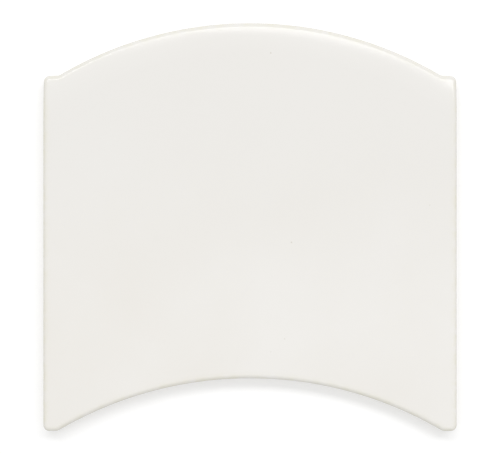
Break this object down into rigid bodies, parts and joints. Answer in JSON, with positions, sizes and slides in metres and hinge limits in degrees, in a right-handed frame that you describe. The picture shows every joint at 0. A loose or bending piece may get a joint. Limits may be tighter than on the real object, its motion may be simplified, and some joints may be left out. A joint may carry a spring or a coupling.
{
  "type": "ceramic wall tile",
  "caption": "Glazed ceramic wall tile with straight sides, an arched top edge, a matching hollow bottom edge, rounded face edges and a keyed back.",
  "frame": {"origin": "on the back face, in the middle of the tile's width and of its height from the tips to the top of the arch", "axes": "+X across the tile from one straight side to the other, +Y along the tile towards its arched edge, +Z out of the glazed face"},
  "size_m": [0.15, 0.148, 0.008],
  "materials": {
    "glazed_ceramic": "gloss"
  },
  "bodies": {
    "root": {"tile": "glazed_ceramic"}
  },
  "joints": []
}
